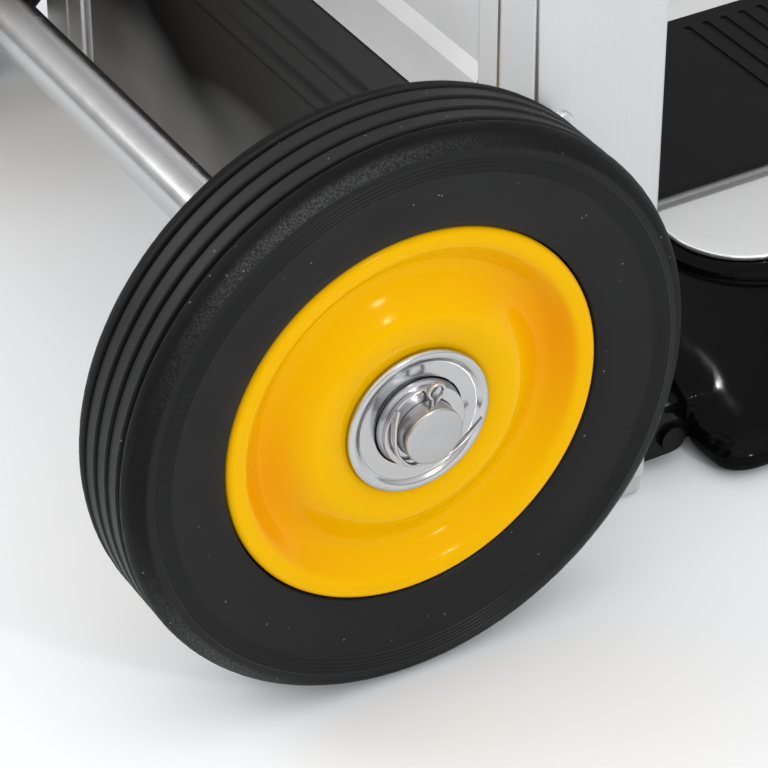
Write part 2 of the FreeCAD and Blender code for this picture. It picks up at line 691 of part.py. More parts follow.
def toe_deck():
    f1 = DECK_BACK + DECK_DEPTH
    z0 = DECK_Z + SEATED
    plate = slab(-DECK_HALF_W, DECK_HALF_W, DECK_BACK, f1, z0, z0 + DECK_T, DECK_CORNER_R)
    return plate.makeFillet(0.9, flat_edges(plate, z0 + DECK_T))


def toe_pad():
    z0 = DECK_Z + SEATED + DECK_T + SEATED
    f0 = DECK_BACK + 1.5
    f1 = DECK_BACK + DECK_DEPTH - 12
    pad = slab(-PAD_HALF_W, PAD_HALF_W, f0, f1, z0, z0 + PAD_T, 6.0)
    pad = pad.makeFillet(0.9, flat_edges(pad, z0 + PAD_T))
    cuts = []
    slot_w = PAD_HALF_W - 8
    for i in range(PAD_SLOTS):
        f = f1 - 11 - i * PAD_SLOT_PITCH
        cuts.append(slab(-slot_w, slot_w, f - 1.6, f + 1.6, z0 + PAD_T - 0.9, z0 + PAD_T + 1, 1.5))
    return pad.cut(cuts)


def toe_rivet(x, f):
    z0 = DECK_Z + SEATED + DECK_T
    head = Part.makeCylinder(5.0, 1.9, V(x, YA - f, z0))
    return head.makeFillet(1.4, flat_edges(head, z0 + 1.9))


def hinge_bracket():
    x0 = KNUCKLE_X - EAR_GAP / 2 - EAR_T
    x1 = KNUCKLE_X + EAR_GAP / 2 + EAR_T
    shape = None
    for a in (x0, x1 - EAR_T):
        ear = cyl_x(HINGE_R, a, a + EAR_T, HINGE_F, HINGE_Z)
        arm = profile_x([(UP_FRONT + SEATED, HINGE_Z - HINGE_R), (UP_FRONT + SEATED, HINGE_Z + HINGE_R),
                         (HINGE_F, HINGE_Z + HINGE_R), (HINGE_F, HINGE_Z - HINGE_R)], a, a + EAR_T)
        piece = ear.fuse(arm)
        shape = piece if shape is None else shape.fuse(piece)
    back = profile_x([(UP_FRONT + SEATED, HINGE_Z - HINGE_R), (UP_FRONT + SEATED, HINGE_Z + 26),
                      (UP_FRONT + 3.2, HINGE_Z + 26), (UP_FRONT + 3.2, HINGE_Z - HINGE_R)], x0, x1)
    shape = shape.fuse(back)
    return shape.cut(cyl_x(HINGE_PIN_R + SEATED, x0 - 1, x1 + 1, HINGE_F, HINGE_Z)).removeSplitter()


def hinge_pin():
    x0 = KNUCKLE_X - EAR_GAP / 2 - EAR_T
    x1 = KNUCKLE_X + EAR_GAP / 2 + EAR_T
    stem = cyl_x(HINGE_PIN_R, x0 - 1.5, x1 + SEATED, HINGE_F, HINGE_Z)
    head = cyl_x(HINGE_PIN_R + 1.8, x1 + SEATED, x1 + 2.1, HINGE_F, HINGE_Z)
    return stem.fuse(head).removeSplitter()


save("toe_base", toe_base())
both("toe_knuckle", toe_knuckle())
save("toe_deck", toe_deck())
save("toe_pad", toe_pad())
toe_spots = [(80.0, DECK_BACK + DECK_DEPTH - 14), (94.0, DECK_BACK + DECK_DEPTH / 2)]
save("toe_rivets", group(mirrored([toe_rivet(x, f) for x, f in toe_spots])))
both("hinge_bracket", hinge_bracket())
save("hinge_pins", group(mirrored([hinge_pin()])))
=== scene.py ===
import bpy
import json
import math
import numpy as np
from mathutils import Matrix, Vector


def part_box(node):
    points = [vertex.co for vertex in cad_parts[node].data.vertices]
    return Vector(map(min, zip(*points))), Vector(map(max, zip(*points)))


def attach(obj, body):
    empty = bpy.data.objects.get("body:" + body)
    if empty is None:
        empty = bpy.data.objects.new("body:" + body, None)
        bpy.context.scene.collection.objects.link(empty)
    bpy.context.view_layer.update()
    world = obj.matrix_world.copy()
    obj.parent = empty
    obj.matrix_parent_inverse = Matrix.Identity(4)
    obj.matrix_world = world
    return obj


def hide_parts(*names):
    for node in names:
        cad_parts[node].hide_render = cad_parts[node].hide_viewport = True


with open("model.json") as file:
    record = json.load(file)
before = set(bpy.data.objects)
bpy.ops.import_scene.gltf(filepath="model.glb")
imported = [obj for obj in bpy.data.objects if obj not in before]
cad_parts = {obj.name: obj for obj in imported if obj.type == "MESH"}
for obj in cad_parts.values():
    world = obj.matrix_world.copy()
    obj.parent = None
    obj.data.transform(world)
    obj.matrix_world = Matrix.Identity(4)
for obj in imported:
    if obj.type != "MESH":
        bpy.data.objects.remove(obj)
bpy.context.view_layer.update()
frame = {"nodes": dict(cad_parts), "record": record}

# Metres. X runs along the axle, -Y points to the toe plate, +Z is up, the floor is Z = 0.
MM = 0.001
nodes = frame["nodes"]

tyre_low, tyre_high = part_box("tyre_left")
TYRE_R = (tyre_high.z - tyre_low.z) / 2
TYRE_HALF = (tyre_high.x - tyre_low.x) / 2
AXLE_Y = (tyre_low.y + tyre_high.y) / 2
AXLE_Z = tyre_low.z + TYRE_R
WHEEL_X = (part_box("tyre_right")[0].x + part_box("tyre_right")[1].x) / 2
LIP_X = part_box("rim_outer_half_right")[1].x - WHEEL_X     # rim lip plane from the wheel's middle
LIP_R = (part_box("rim_outer_half_right")[1].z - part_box("rim_outer_half_right")[0].z) / 2
SHOULDER_R = 7.3 * MM
BEAD_R = LIP_R + 0.5 * MM
SEAT_R = 61.1 * MM
GROOVES = np.array([-1.5, -0.5, 0.5, 1.5]) * 7.3 * MM
GROOVE_D = 1.7 * MM
RIDGES = 86.6 * MM + np.arange(6) * 1.35 * MM
AXLE_R = 10.0 * MM
TYRE_TURNS = 360                 # steps round a tyre
RIM_TURNS = 224                  # steps round the outer disc
RING_TURNS = 160                 # steps round the inner disc and the small turned rings
AXLE_TURNS = 96
CORNER_STEPS = 7                 # points along each softened corner of a turned ring
DISC_BORE = 20.1 * MM
DISC_BOSS = 34.0 * MM            # edge of the flat boss
VALLEY = 7.4 * MM                # depth of the pressed valley
LIP_ROLL = 2.3 * MM              # radius of the rolled lip
PIN_LEAN = math.radians(10)      # split pin's tilt, forward from upright
EYE_R, EYE_AT = 2.75, 14.1       # split pin's eye: radius and centre above the axle, in millimetres
LEG_END = 11.6                   # where the pin's legs leave the axle's far side, in millimetres


# ---- mesh builders ----
def smoothstep(a, b, x):
    """0 below a, 1 above b, and three t squared less two t cubed in between."""
    t = np.clip((x - a) / (b - a), 0.0, 1.0)
    return t * t * (3 - 2 * t)


def bell(x, centre, width, power=2):
    """e to the minus (distance from the centre over the width) to a power: 1 at the centre, 0 far off."""
    return np.exp(-np.abs((x - centre) / width) ** power)


def skin(name, grid, wrap_u=True, caps=False, flip=False, attrs=None):
    """A grid of points (u, v, 3) joined into quads, closed round v; wrap_u joins the last row of u to the
    first, and caps closes both ends of u with one flat polygon each."""
    nu, nv = grid.shape[:2]
    index = np.arange(nu * nv).reshape(nu, nv)
    a = index if wrap_u else index[:-1]
    b = np.roll(index, -1, 0) if wrap_u else index[1:]
    quads = np.stack([a, np.roll(a, -1, 1), np.roll(b, -1, 1), b], -1).reshape(-1, 4)
    rings = [index[0][::-1], index[-1]] if caps else []
    if flip:
        quads = quads[:, ::-1]
        rings = [r[::-1] for r in rings]
    loops = np.concatenate([quads.ravel()] + [r.ravel() for r in rings])
    sizes = np.concatenate([np.full(len(quads), 4), np.array([len(r) for r in rings], int)]).astype(int)
    starts = np.concatenate([[0], np.cumsum(sizes)[:-1]])
    mesh = bpy.data.meshes.new(name)
    mesh.vertices.add(nu * nv)
    mesh.vertices.foreach_set("co", grid.reshape(-1).astype(np.float32))
    mesh.loops.add(len(loops))
    mesh.loops.foreach_set("vertex_index", loops.astype(np.int32))
    mesh.polygons.add(len(sizes))
    mesh.polygons.foreach_set("loop_start", starts.astype(np.int32))
    mesh.polygons.foreach_set("use_smooth", np.ones(len(sizes), bool))
    mesh.update(calc_edges=True)
    for key, values in (attrs or {}).items():
        layer = mesh.attributes.new(key, "FLOAT", "POINT")
        layer.data.foreach_set("value", values.reshape(-1).astype(np.float32))
    obj = bpy.data.objects.new(name, mesh)
    bpy.context.scene.collection.objects.link(obj)
    return obj


def softened(points, radius, steps):
    """A closed outline with each corner replaced by a short curve that leaves its two sides
    at the given radius, or half the side where that is shorter."""
    p = np.array(points, float)
    before, after = np.roll(p, 1, 0) - p, np.roll(p, -1, 0) - p
    len_b = np.linalg.norm(before, axis=1, keepdims=True)
    len_a = np.linalg.norm(after, axis=1, keepdims=True)
    reach = np.broadcast_to(np.asarray(radius, float).reshape(-1, 1), len_a.shape)
    a = p + before / len_b * np.minimum(reach, len_b / 2)
    b = p + after / len_a * np.minimum(reach, len_a / 2)
    t = np.linspace(0, 1, steps)[None, :, None]
    curve = (1 - t) ** 2 * a[:, None] + 2 * t * (1 - t) * p[:, None] + t ** 2 * b[:, None]
    return curve.reshape(-1, 2)


def lathe(name, profile, side, centre_x, turns, attrs=None, wobble=None):
    """A closed (radius, outward) profile turned about the axle: y and z are the radius times the cosine and sine
    of the angle. Side is +1 or -1 for the wheel it is on; wobble is added to the radius."""
    angle = np.linspace(0, 2 * np.pi, turns, endpoint=False)[:, None]
    r, out = profile[None, :, 0], profile[None, :, 1]
    if wobble is not None:
        r = r + wobble
    grid = np.stack([side * (centre_x + out) + 0 * angle, AXLE_Y + r * np.cos(angle),
                     AXLE_Z + r * np.sin(angle)], -1)
    spread = {k: np.broadcast_to(v, grid.shape[:2]) for k, v in (attrs or {}).items()}
    x, y = profile[:, 0], profile[:, 1]
    turn = np.sum(x * np.roll(y, -1) - np.roll(x, -1) * y)
    return skin(name, grid, flip=(turn * side > 0), attrs=spread)


def prism(name, outline, start, end, edge=0.0):
    """A closed (y, z) outline carried straight along X from start to end. Near each end it shrinks by the edge
    times one less the sine, while it moves by the edge times one less the cosine."""
    p = np.array(outline, float)
    tangent = np.roll(p, -1, 0) - np.roll(p, 1, 0)
    tangent /= np.linalg.norm(tangent, axis=1, keepdims=True) + 1e-12
    area = np.sum(p[:, 0] * np.roll(p[:, 1], -1) - np.roll(p[:, 0], -1) * p[:, 1])
    normal = np.stack([tangent[:, 1], -tangent[:, 0]], -1) * np.sign(area)
    t = np.linspace(0, np.pi / 2, 4)
    inset = edge * (1 - np.sin(t))
    along = edge * (1 - np.cos(t))
    insets = np.concatenate([inset, inset[::-1]])
    places = np.concatenate([start + along, end - along[::-1]])
    ring = p[None] - normal[None] * insets[:, None, None]
    x = np.broadcast_to(places[:, None], ring.shape[:2])
    return skin(name, np.stack([x, ring[..., 0], ring[..., 1]], -1), wrap_u=False, caps=True, flip=(area <= 0))


def wire(name, path, across, half_wide, half_thick):
    """A flattened wire along a path that lies nearly flat to `across`. Its section takes the cosine and sine of
    an angle to the power 0.7, which squares the circle off a little."""
    square = 0.7
    p = np.array(path, float)
    along = np.gradient(p, axis=0)
    along /= np.linalg.norm(along, axis=1, keepdims=True)
    flat = np.cross(along, np.array(across, float))
    flat /= np.linalg.norm(flat, axis=1, keepdims=True)
    a = np.linspace(0, 2 * np.pi, 12, endpoint=False)
    c, s = np.cos(a), np.sin(a)
    cx = np.sign(c) * np.abs(c) ** square * half_wide
    sy = np.sign(s) * np.abs(s) ** square * half_thick
    grid = p[:, None] + cx[None, :, None] * np.array(across, float) + sy[None, :, None] * flat[:, None]
    return skin(name, grid, wrap_u=False, caps=True)


def eased(points):
    """Corner cutting: each of three rounds swaps every corner for two points a quarter of the way along its
    sides."""
    p = np.array(points, float)
    for _ in range(3):
        q = 0.75 * p[:-1] + 0.25 * p[1:]
        r = 0.25 * p[:-1] + 0.75 * p[1:]
        p = np.concatenate([p[:1], np.stack([q, r], 1).reshape(-1, p.shape[1]), p[-1:]])
    return p


# ---- materials ----
def finish_nodes(name):
    """A new material with its shader and its Object coordinates."""
    mat = bpy.data.materials.new(name)
    mat.use_nodes = True
    tree = mat.node_tree
    shader = tree.nodes["Principled BSDF"]
    coords = tree.nodes.new("ShaderNodeTexCoord")
    return mat, tree, shader, coords.outputs["Object"]


def mapped(tree, coords, scale):
    node = tree.nodes.new("ShaderNodeMapping")
    node.inputs["Scale"].default_value = scale
    tree.links.new(coords, node.inputs["Vector"])
    return node.outputs["Vector"]


def noise(tree, coords, scale, detail, rough=0.55):
    node = tree.nodes.new("ShaderNodeTexNoise")
    node.inputs["Scale"].default_value = scale
    node.inputs["Detail"].default_value = detail
    node.inputs["Roughness"].default_value = rough
    tree.links.new(coords, node.inputs["Vector"])
    return node.outputs["Fac"]


def ramp(tree, value, low, high, out_low, out_high):
    """A straight line from (low, out_low) to (high, out_high), held level outside."""
    node = tree.nodes.new("ShaderNodeMapRange")
    node.inputs["From Min"].default_value = low
    node.inputs["From Max"].default_value = high
    node.inputs["To Min"].default_value = out_low
    node.inputs["To Max"].default_value = out_high
    tree.links.new(value, node.inputs["Value"])
    return node.outputs["Result"]


def maths(tree, op, a, b):
    node = tree.nodes.new("ShaderNodeMath")
    node.operation = op
    for socket, value in zip(node.inputs, (a, b)):
        if isinstance(value, (int, float)):
            socket.default_value = value
        else:
            tree.links.new(value, socket)
    return node.outputs[0]


def tinted(tree, fac, low, high):
    """A blend of two fixed colours."""
    node = tree.nodes.new("ShaderNodeMix")
    node.data_type = "RGBA"
    node.inputs[6].default_value = (*low, 1)
    node.inputs[7].default_value = (*high, 1)
    tree.links.new(fac, node.inputs[0])
    return node.outputs[2]


def mixed(tree, fac, colour, high):
    """A blend of a worked-out colour with a fixed one."""
    node = tree.nodes.new("ShaderNodeMix")
    node.data_type = "RGBA"
    tree.links.new(colour, node.inputs[6])
    node.inputs[7].default_value = (*high, 1)
    tree.links.new(fac, node.inputs[0])
    return node.outputs[2]


def bumped(tree, shader, height, strength, distance):
    node = tree.nodes.new("ShaderNodeBump")
    node.inputs["Strength"].default_value = strength
    node.inputs["Distance"].default_value = distance
    tree.links.new(height, node.inputs["Height"])
    tree.links.new(node.outputs["Normal"], shader.inputs["Normal"])


def attribute(tree, name):
    node = tree.nodes.new("ShaderNodeAttribute")
    node.attribute_name = name
    return node.outputs["Fac"]


def specks(tree, coords, scale, share):
    """Sparse dots: cells of a Voronoi pattern whose own random value is under `share`, near their centres."""
    node = tree.nodes.new("ShaderNodeTexVoronoi")
    node.inputs["Scale"].default_value = scale
    tree.links.new(coords, node.inputs["Vector"])
    near = ramp(tree, node.outputs["Distance"], 0.10, 0.20, 1.0, 0.0)
    pick = tree.nodes.new("ShaderNodeSeparateColor")
    tree.links.new(node.outputs["Color"], pick.inputs[0])
    chosen = maths(tree, "LESS_THAN", pick.outputs[0], share)
    return maths(tree, "MULTIPLY", near, chosen)


def tyre_rubber():
    """Black rubber: grainy on the shoulder band, with painted shade in the grooves, greyer in shoulder patches that
    are partly scuffs and partly a painted sheen, lightly dusted.
    """
    mat, tree, shader, coords = finish_nodes("tyre_rubber")
    band, groove = attribute(tree, "grain_band"), attribute(tree, "groove")
    rib, scuff_and_sheen = attribute(tree, "rib"), attribute(tree, "scuff_and_sheen")
    cloud = noise(tree, coords, 28, 5)
    grain = noise(tree, coords, 900, 3, 0.7)
    fine = noise(tree, coords, 1500, 3, 0.75)
    base = tinted(tree, cloud, (0.0030, 0.0031, 0.0032), (0.0060, 0.0061, 0.0063))
    base = mixed(tree, maths(tree, "MULTIPLY", rib, 0.8), base, (0.012, 0.012, 0.0124))
    base = mixed(tree, maths(tree, "MULTIPLY", band, 0.7), base, (0.004, 0.004, 0.004))
    # painted sheen on scuffed rubber: lighter grey streaks in patches of the shoulder
    scuff_and_sheen_streak = maths(tree, "MULTIPLY", scuff_and_sheen, ramp(tree, fine, 0.42, 0.66, 0.10, 0.75))
    base = mixed(tree, scuff_and_sheen_streak, base, (0.105, 0.105, 0.106))
    # painted shade: the grooves are darkened in the colour
    base = mixed(tree, maths(tree, "MULTIPLY", groove, 0.8), base, (0.002, 0.002, 0.002))
    dust = maths(tree, "MULTIPLY", specks(tree, coords, 520, 0.030), 0.42)
    base = mixed(tree, dust, base, (0.40, 0.40, 0.39))
    tree.links.new(base, shader.inputs["Base Color"])
    tree.links.new(ramp(tree, cloud, 0.3, 0.7, 0.44, 0.56), shader.inputs["Roughness"])
    gloss = maths(tree, "SUBTRACT", 0.24, maths(tree, "MULTIPLY", maths(tree, "ADD", band, groove), 0.15))
    tree.links.new(gloss, shader.inputs["Specular IOR Level"])
    height = maths(tree, "ADD", maths(tree, "MULTIPLY", grain, 0.25),
                   maths(tree, "MULTIPLY", maths(tree, "MULTIPLY", fine, band), 1.2))
    bumped(tree, shader, height, 0.5, 0.0003)
    return mat


def yellow_paint():
    """Gloss yellow that turns a deeper orange in two crescents of painted shade in the valley."""
    mat, tree, shader, coords = finish_nodes("yellow_paint")
    cloud = noise(tree, coords, 14, 2)
    base = tinted(tree, cloud, (0.80, 0.425, 0.0002), (0.84, 0.455, 0.0003))
    # painted shade: the valley turns deep orange on two opposite sides
    base = mixed(tree, maths(tree, "MULTIPLY", attribute(tree, "valley_painted_shade"), 0.9), base, (0.80, 0.31, 0.0002))
    tree.links.new(base, shader.inputs["Base Color"])
    shader.inputs["Roughness"].default_value = 0.12
    shader.inputs["Specular IOR Level"].default_value = 0.07
    shader.inputs["Specular Tint"].default_value = (1.0, 0.90, 0.50, 1)
    bumped(tree, shader, noise(tree, coords, 260, 2), 0.04, 0.0006)
    return mat


def plated(name, tint, rough_low, rough_high, strength=0.12):
    """Bright plating with fine turning lines round the axle."""
    mat, tree, shader, coords = finish_nodes(name)
    lines = noise(tree, mapped(tree, coords, (3000, 40, 40)), 1.0, 3)
    cloud = noise(tree, coords, 120, 3)
    tree.links.new(tinted(tree, cloud, tuple(0.92 * c for c in tint), tint), shader.inputs["Base Color"])
    shader.inputs["Metallic"].default_value = 1.0
    tree.links.new(ramp(tree, cloud, 0.3, 0.7, rough_low, rough_high), shader.inputs["Roughness"])
    bumped(tree, shader, maths(tree, "ADD", lines, cloud), strength, 0.0002)
    return mat


def drawn_aluminium(name, along, tint, rough):
    """Extruded metal: noise stretched along the bar for the faint draw lines."""
    mat, tree, shader, coords = finish_nodes(name)
    scale = {"x": (6, 700, 700), "z": (700, 700, 6)}[along]
    lines = noise(tree, mapped(tree, coords, scale), 1.0, 3, 0.6)
    cloud = noise(tree, coords, 40, 3)
    tree.links.new(tinted(tree, lines, tuple(0.93 * c for c in tint), tint), shader.inputs["Base Color"])
    shader.inputs["Metallic"].default_value = 0.88
    tree.links.new(ramp(tree, cloud, 0.3, 0.7, rough - 0.04, rough + 0.05), shader.inputs["Roughness"])
    bumped(tree, shader, lines, 0.10, 0.0003)
    return mat


def polished_metal():
    """Near-mirror sheet with faint lines along X."""
    mat, tree, shader, coords = finish_nodes("polished_aluminium")
    lines = noise(tree, mapped(tree, coords, (20, 900, 900)), 1.0, 2)
    tree.links.new(tinted(tree, lines, (0.88, 0.88, 0.885), (0.93, 0.93, 0.935)), shader.inputs["Base Color"])
    shader.inputs["Metallic"].default_value = 0.8
    tree.links.new(ramp(tree, lines, 0.3, 0.7, 0.12, 0.15), shader.inputs["Roughness"])
    bumped(tree, shader, lines, 0.02, 0.0001)
    return mat


def gloss_black(name, rough, shine):
    """Almost black, under a clear coat that carries all the gloss."""
    mat, tree, shader, coords = finish_nodes(name)
    cloud = noise(tree, coords, 30, 3)
    tree.links.new(tinted(tree, cloud, (0.0016, 0.0016, 0.0016), (0.003, 0.003, 0.003)),
                   shader.inputs["Base Color"])
    tree.links.new(ramp(tree, cloud, 0.3, 0.7, rough, rough + 0.05), shader.inputs["Roughness"])
    shader.inputs["Specular IOR Level"].default_value = 0.0
    shader.inputs["Coat Weight"].default_value = shine
    shader.inputs["Coat Roughness"].default_value = rough
    dust = specks(tree, coords, 260, 0.02)
    bumped(tree, shader, maths(tree, "ADD", noise(tree, coords, 220, 2), dust), 0.05, 0.0005)
    return mat


def moulded(name, low, high, rough, grain, strength, shine=0.5):
    """Plastic or rubber with a moulded grain."""
    mat, tree, shader, coords = finish_nodes(name)
    cloud = noise(tree, coords, 45, 4)
    tree.links.new(tinted(tree, cloud, low, high), shader.inputs["Base Color"])
    tree.links.new(ramp(tree, cloud, 0.3, 0.7, rough - 0.04, rough + 0.06), shader.inputs["Roughness"])
    shader.inputs["Specular IOR Level"].default_value = shine
    bumped(tree, shader, noise(tree, coords, grain, 3, 0.6), strength, 0.0003)
    return mat


finishes = {
    "tyre_rubber": tyre_rubber(),
    "yellow_paint": yellow_paint(),
    "bright_zinc": plated("bright_zinc", (0.56, 0.56, 0.565), 0.12, 0.22),
    "ground_zinc": plated("ground_zinc", (0.50, 0.50, 0.505), 0.20, 0.28, 0.06),
    "bearing_steel": plated("bearing_steel", (0.40, 0.40, 0.41), 0.16, 0.26),
    "black_gloss_steel": gloss_black("black_gloss_steel", 0.24, 0.45),
    "aluminium": drawn_aluminium("aluminium", "z", (0.68, 0.68, 0.68), 0.36),
    "cross_aluminium": drawn_aluminium("cross_aluminium", "x", (0.70, 0.70, 0.705), 0.34),
    "polished_aluminium": polished_metal(),
    "grey_plastic": moulded("grey_plastic", (0.42, 0.42, 0.42), (0.52, 0.52, 0.52), 0.32, 300, 0.10),
    "black_plastic": moulded("black_plastic", (0.008, 0.008, 0.008), (0.013, 0.013, 0.013), 0.42, 1400, 0.35, 0.3),
    "black_gloss_plastic": gloss_black("black_gloss_plastic", 0.10, 0.14),
    "yellow_plastic": moulded("yellow_plastic", (0.80, 0.42, 0.002), (0.88, 0.48, 0.003), 0.30, 500, 0.10),
    "grip_rubber": moulded("grip_rubber", (0.006, 0.006, 0.006), (0.009, 0.009, 0.009), 0.62, 1100, 0.5, 0.10),
}
SLOTS = {s["node"]: s["material_slot"] for s in frame["record"]["subparts"]}
CROSSWISE = {"lower_crossbar", "upper_crossbar", "handle_bar"}


def dress(obj, finish):
    """Give the whole object one finish."""
    obj.data.materials.clear()
    obj.data.materials.append(finishes[finish])


def place(obj, body, slot, *covers, finish=None):
    """Dress a new piece, tie it to its body and slot, and let it stand for the nodes it covers."""
    dress(obj, finish or slot)
    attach(obj, body)
    if covers:
        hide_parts(*covers)
    return obj


for node_name, node in nodes.items():
    for i in range(len(node.material_slots)):
        finish = "cross_aluminium" if node_name in CROSSWISE else SLOTS[node_name]
        node.material_slots[i].material = finishes[finish]


# ---- wheels ----
def tyre_profile():
    """Outline of the rubber, as (radius, outward from the middle plane). A polynomial dishes the sidewall, which
    carries thin rings near the shoulder; a quarter round leads to a slightly crowned tread with grooves."""
    r = np.concatenate([np.linspace(BEAD_R, 86 * MM, 40), np.linspace(86.1 * MM, TYRE_R - SHOULDER_R, 76)])
    knots = np.array([BEAD_R, 72 * MM, 79 * MM, 86 * MM, TYRE_R - SHOULDER_R])
    drops = np.array([4.0, 2.2, 1.3, 0.62, 0.45]) * MM
    wall = TYRE_HALF - np.polyval(np.polyfit(knots / 0.1, drops, 4), r / 0.1)
    rings = sum(bell(r, c, 0.38 * MM) for c in RIDGES) * 0.42 * MM
    side = np.stack([r, wall + rings], -1)
    a = np.linspace(0, np.pi / 2, 22)[1:]
    corner = np.stack([TYRE_R - SHOULDER_R + SHOULDER_R * np.sin(a),
                       TYRE_HALF - 0.45 * MM - SHOULDER_R * (1 - np.cos(a))], -1)
    z = np.linspace(corner[-1, 1], -corner[-1, 1], 130)[1:-1]
    cut = sum(bell(z, c, 1.0 * MM, 4) for c in GROOVES)
    lips = sum(bell(z, c + s * 1.55 * MM, 0.32 * MM) for c in GROOVES for s in (-1, 1))
    tread = np.stack([TYRE_R - 0.26 * MM - GROOVE_D * cut + 0.22 * MM * lips, z], -1)
    half = np.concatenate([side, corner])
    other = half[::-1] * np.array([1, -1])
    lip_low = LIP_X - 4.0 * MM
    bead = np.array([[BEAD_R + 0.1 * MM, -lip_low], [SEAT_R, -lip_low], [SEAT_R, lip_low],
                     [BEAD_R + 0.1 * MM, lip_low]])
    outline = np.concatenate([half, tread, other, bead])
    radius, out = outline[:, 0], np.abs(outline[:, 1])
    band = smoothstep(94.2 * MM, 95.2 * MM, radius) * smoothstep(12.0 * MM, 13.2 * MM, out)
    flat = np.zeros(len(half))
    dark = np.concatenate([flat, cut, flat, np.zeros(len(bead))])
    rib = np.concatenate([flat, 1 - cut, flat, np.zeros(len(bead))])
    return outline, band, dark, rib


SCUFF_AND_SHEEN_PATCHES = ((1.15, 0.55), (3.9, 0.25), (5.6, 0.35))     # (angle, spread) of the shoulder stretches, lightened partly by wear and partly by painted sheen


def build_tyre(name, side, body, seed):
    """The outline turned about the axle. Small smoothed random dips roughen the shoulder band and, less, the
    ribs; bell curves of the angle mark the shoulder stretches that are partly worn and partly painted sheen."""
    outline, band, dark, rib = tyre_profile()
    rng = np.random.default_rng(seed)
    rough = rng.normal(0, 1, (TYRE_TURNS, len(outline)))
    rough = (rough + np.roll(rough, 1, 0) + np.roll(rough, 2, 0) + np.roll(rough, 1, 1)) / 3
    wobble = -np.abs(rough) * (band + 0.25 * rib)[None] * 0.13 * MM
    angle = np.linspace(0, 2 * np.pi, TYRE_TURNS, endpoint=False)[:, None]
    # painted sheen with wear: bell curves of the angle pick where the shoulder is lightened
    patches = sum(np.exp(-((angle - c + np.pi) % (2 * np.pi) - np.pi) ** 2 / w ** 2) for c, w in SCUFF_AND_SHEEN_PATCHES)
    ring = band * smoothstep(99.4 * MM, 97.2 * MM, outline[:, 0]) * (np.sign(outline[:, 1]) + 1) / 2
    marks = {"grain_band": band, "groove": dark, "rib": rib, "scuff_and_sheen": patches * ring[None]}
    obj = lathe(name, outline, side, WHEEL_X, TYRE_TURNS, marks, wobble)
    return place(obj, body, "tyre_rubber", "tyre_" + body.split("_")[1])


def rim_profile():
    """Pressed disc, as (radius, outward from the middle plane): a flat boss, a rounded valley, a slope up to a
    rolled lip, then the lip's back, the bead seat and the hub wall."""
    r = np.linspace(DISC_BOSS, LIP_R - 2.4 * MM, 60)
    inner = smoothstep(DISC_BOSS + 1 * MM, 49.5 * MM, r)
    outer = smoothstep(51.0 * MM, 61.6 * MM, r)
    depth = VALLEY * (inner - outer * 0.97) - 0.2 * MM * (r - 61 * MM).clip(0) / (5 * MM)
    face = np.stack([r, LIP_X - 0.05 * MM - depth], -1)
    a = np.linspace(0, np.pi / 2, 8)[1:]
    roll = np.stack([LIP_R - 2.4 * MM + LIP_ROLL * np.sin(a), LIP_X - 0.1 * MM - LIP_ROLL * (1 - np.cos(a))], -1)
    wall = np.array([[LIP_R - 0.1 * MM, LIP_X - 3.7 * MM], [SEAT_R - 0.2 * MM, LIP_X - 3.9 * MM],
                     [SEAT_R - 0.2 * MM, 0.06 * MM], [SEAT_R - 2.4 * MM, 0.06 * MM],
                     [SEAT_R - 2.4 * MM, LIP_X - 7.4 * MM]])
    under = np.stack([r[::-1][8:], LIP_X - 2.4 * MM - depth[::-1][8:]], -1)
    hub = np.array([[DISC_BORE + 2.5 * MM, LIP_X - 2.4 * MM], [DISC_BORE + 2.5 * MM, 0.06 * MM],
                    [DISC_BORE, 0.06 * MM], [DISC_BORE, LIP_X - 0.05 * MM]])
    return np.concatenate([face, roll, wall, under, hub])


def build_rims(side, body):
    """Both pressed discs. The valley of the outer one carries painted shade, a deeper orange, most at the two ends
    of a tilted diameter:
    the fourth power of a cosine of the angle."""
    label = body.split("_")[1]
    outline = rim_profile()
    angle = np.linspace(0, 2 * np.pi, RIM_TURNS, endpoint=False)[:, None]
    r, out = outline[None, :, 0], outline[None, :, 1]
    dip = smoothstep(37 * MM, 50 * MM, r) * (1 - smoothstep(58.2 * MM, 60.4 * MM, r)) * (out > 0)
    # painted shade: the valley's mask, strongest on two opposite sides
    valley_painted_shade = dip * np.abs(np.cos(angle + 0.23)) ** 4
    outer = lathe("rim_disc_outer_" + label, outline, side, WHEEL_X, RIM_TURNS, {"valley_painted_shade": valley_painted_shade})
    place(outer, body, "yellow_paint", "rim_outer_half_" + label)
    inner = lathe("rim_disc_inner_" + label, outline * np.array([1, -1]), side, WHEEL_X, RING_TURNS)
    place(inner, body, "yellow_paint", "rim_inner_half_" + label)


def turned_ring(name, points, radius, side, body, slot, inward):
    """A softened outline in millimetres, counted out from the rim lip plane, turned about the axle; inward
    mirrors it to the wheel's inner face."""
    profile = softened(np.array(points) * MM, np.array(radius) * MM, CORNER_STEPS)
    profile[:, 1] += LIP_X
    if inward:
        profile[:, 1] *= -1
    return place(lathe(name, profile, side, WHEEL_X, RING_TURNS), body, slot)


